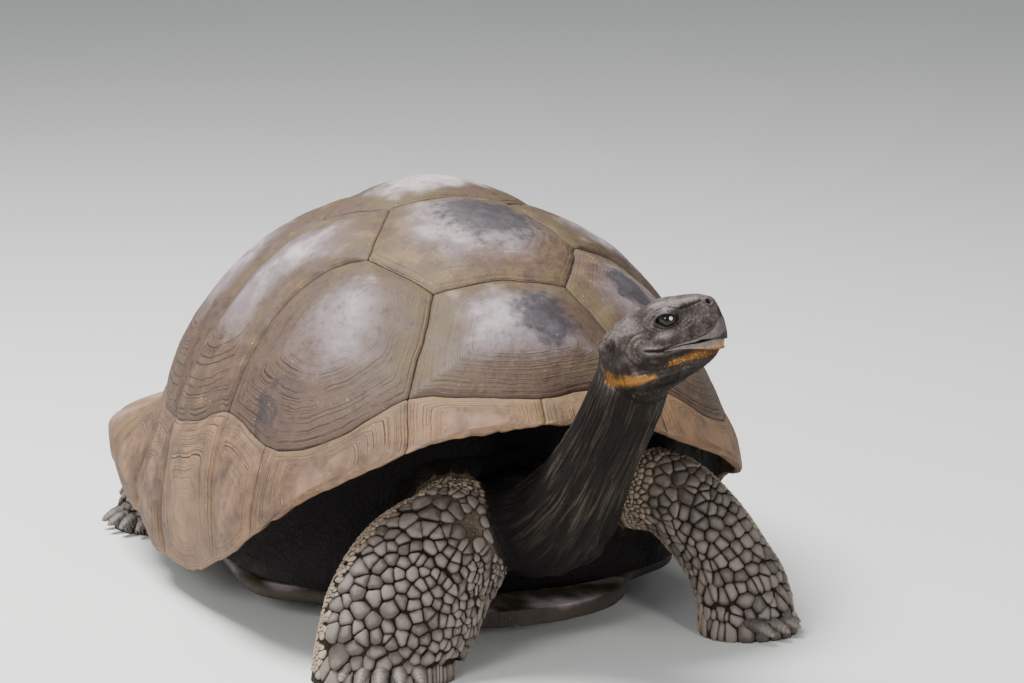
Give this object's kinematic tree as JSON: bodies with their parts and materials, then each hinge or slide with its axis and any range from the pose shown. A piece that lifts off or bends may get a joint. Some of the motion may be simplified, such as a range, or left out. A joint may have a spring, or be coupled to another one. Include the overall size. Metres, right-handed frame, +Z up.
{
  "type": "giant tortoise",
  "caption": "Life-size still model of a domed giant tortoise, standing low with its neck raised and its head turned to its left.",
  "frame": {"origin": "middle of the bounding box in plan, on the floor under the feet", "axes": "+X straight ahead along the body towards the neck, +Y to the animal's left, +Z up"},
  "size_m": [1.3602, 0.932, 0.6304],
  "materials": {
    "shell": "weathered horn, satin",
    "plastron": "worn horn, matte",
    "skin": "dry wrinkled hide, matte",
    "beak": "horn, satin",
    "eye": "wet, glossy",
    "claw": "worn horn, satin"
  },
  "bodies": {
    "root": {"claws_fore_left": "claw", "claws_fore_right": "claw", "claws_hind_left": "claw", "claws_hind_right": "claw", "costal_left_1": "shell", "costal_left_2": "shell", "costal_left_3": "shell", "costal_left_4": "shell", "costal_right_1": "shell", "costal_right_2": "shell", "costal_right_3": "shell", "costal_right_4": "shell", "eye_left": "eye", "eye_right": "eye", "foreleg_left": "skin", "foreleg_right": "skin", "head": "skin", "hindleg_left": "skin", "hindleg_right": "skin", "lower_beak": "beak", "lower_jaw": "skin", "marginal_left_1": "shell", "marginal_left_2": "shell", "marginal_left_3": "shell", "marginal_left_4": "shell", "marginal_left_5": "shell", "marginal_left_6": "shell", "marginal_left_7": "shell", "marginal_left_8": "shell", "marginal_left_9": "shell", "marginal_right_1": "shell", "marginal_right_2": "shell", "marginal_right_3": "shell", "marginal_right_4": "shell", "marginal_right_5": "shell", "marginal_right_6": "shell", "marginal_right_7": "shell", "marginal_right_8": "shell", "marginal_right_9": "shell", "neck": "skin", "plastron": "plastron", "supracaudal": "shell", "tail": "skin", "trunk": "skin", "upper_beak": "beak", "vertebral_1": "shell", "vertebral_2": "shell", "vertebral_3": "shell", "vertebral_4": "shell", "vertebral_5": "shell"}
  },
  "joints": []
}
